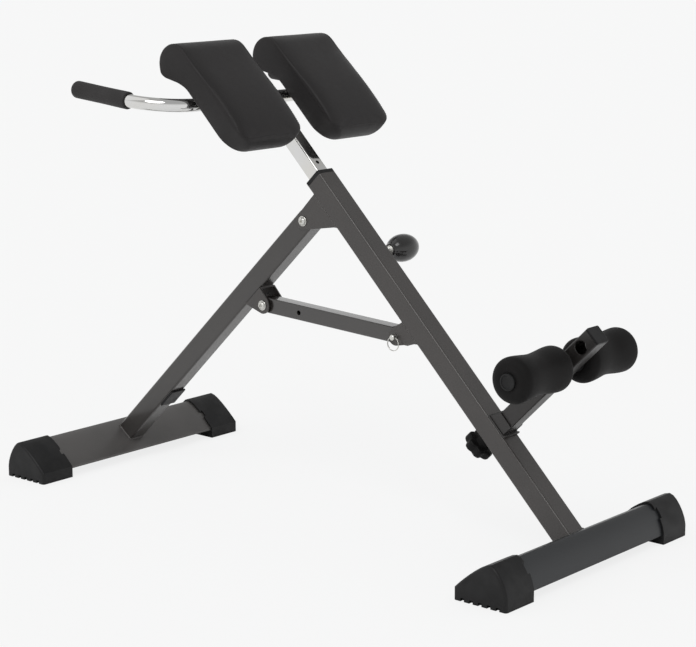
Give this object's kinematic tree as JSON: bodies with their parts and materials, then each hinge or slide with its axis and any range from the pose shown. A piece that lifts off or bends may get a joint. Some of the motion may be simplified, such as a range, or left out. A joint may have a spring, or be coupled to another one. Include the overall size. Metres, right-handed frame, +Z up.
{
  "type": "back extension machine",
  "caption": "Folding back extension bench with slanted beam, sliding hip pads and handlebar, braced front leg and foam ankle rollers.",
  "frame": {"origin": "on the floor under the middle of the bench", "axes": "+X towards the rear foot along the bench, +Y across it to the side of the pull knob, +Z up"},
  "size_m": [1.2614, 0.577, 0.8906],
  "materials": {
    "frame_paint": "dark grey hammered paint, satin",
    "foot_paint": "blue grey paint, satin",
    "chrome": "polished",
    "zinc": "zinc plated",
    "black_plastic": "moulded, matte",
    "gloss_black": "glossy",
    "vinyl": "grained vinyl, soft sheen",
    "foam": "closed-cell foam, matte"
  },
  "bodies": {
    "frame": {"main_beam": "frame_paint", "beam_sleeve": "black_plastic", "fold_bracket": "frame_paint", "fold_bolt": "zinc", "brace_bracket": "frame_paint", "rear_foot_tube": "foot_paint", "rear_foot_cap_right": "black_plastic", "rear_foot_cap_left": "black_plastic", "pull_collar": "zinc", "roller_arm": "frame_paint", "arm_plug": "black_plastic", "arm_saddle": "frame_paint", "arm_stud": "zinc", "roller_axle": "chrome", "axle_collar_right": "black_plastic", "axle_collar_left": "black_plastic", "axle_plug_right": "black_plastic", "axle_plug_left": "black_plastic"},
    "front_leg": {"front_leg_tube": "frame_paint", "leg_bracket": "frame_paint", "leg_stop": "black_plastic", "brace_bolt": "zinc", "brace_spacer_right": "black_plastic", "brace_spacer_left": "black_plastic", "front_foot_tube": "foot_paint", "front_foot_cap_right": "black_plastic", "front_foot_cap_left": "black_plastic"},
    "brace": {"brace_tube": "frame_paint"},
    "lock_pin_body": {"lock_pin": "zinc"},
    "ring_body": {"pin_ring": "zinc"},
    "post_body": {"seat_post": "chrome", "post_plug": "black_plastic", "post_glide": "black_plastic", "handlebar": "chrome", "grip_right": "foam", "grip_left": "foam", "pad_bracket_right": "zinc", "pad_bracket_left": "zinc", "pad_right": "vinyl", "pad_left": "vinyl"},
    "pull_pin_body": {"pull_pin": "zinc", "pull_knob": "gloss_black"},
    "star_body": {"star_knob": "black_plastic"},
    "roller_right_body": {"roller_right": "foam"},
    "roller_left_body": {"roller_left": "foam"}
  },
  "joints": [
    {"name": "leg_fold", "type": "hinge", "parent": "frame", "child": "front_leg", "pos_m": [-0.04845, 0, 0.5542], "axis": [0, -1, 0], "range_deg": [0, 80]},
    {"name": "brace_swing", "type": "hinge", "parent": "front_leg", "child": "brace", "pos_m": [-0.15592, 0, 0.37686], "axis": [0, -1, 0], "range_deg": [-134.28, 0]},
    {"name": "lock_pin_pull", "type": "slide", "parent": "frame", "child": "lock_pin_body", "axis": [0, -1, 0], "range_m": [0, 0.06]},
    {"name": "ring_swing", "type": "hinge", "parent": "lock_pin_body", "child": "ring_body", "pos_m": [0.17941, -0.0283, 0.36151], "axis": [-1, 0, 0], "range_deg": [0, 80]},
    {"name": "post_slide", "type": "slide", "parent": "frame", "child": "post_body", "axis": [-0.7051, 0, 0.7091], "range_m": [-0.075, 0.05]},
    {"name": "pull_pin_slide", "type": "slide", "parent": "frame", "child": "pull_pin_body", "axis": [0, 1, 0], "range_m": [0, 0.012], "stiffness_N_per_m": 900},
    {"name": "star_knob_turn", "type": "hinge", "parent": "frame", "child": "star_body", "pos_m": [0.35958, 0, 0.18147], "axis": [0.7091, 0, 0.7051], "continuous": true},
    {"name": "roller_right_spin", "type": "hinge", "parent": "frame", "child": "roller_right_body", "pos_m": [0.54824, 0, 0.36062], "axis": [0, 1, 0], "continuous": true},
    {"name": "roller_left_spin", "type": "hinge", "parent": "frame", "child": "roller_left_body", "pos_m": [0.54824, 0, 0.36062], "axis": [0, 1, 0], "continuous": true}
  ],
  "couplings": [
    {"joint": "brace_swing", "follows": "leg_fold", "ratio": -1.6779}
  ]
}
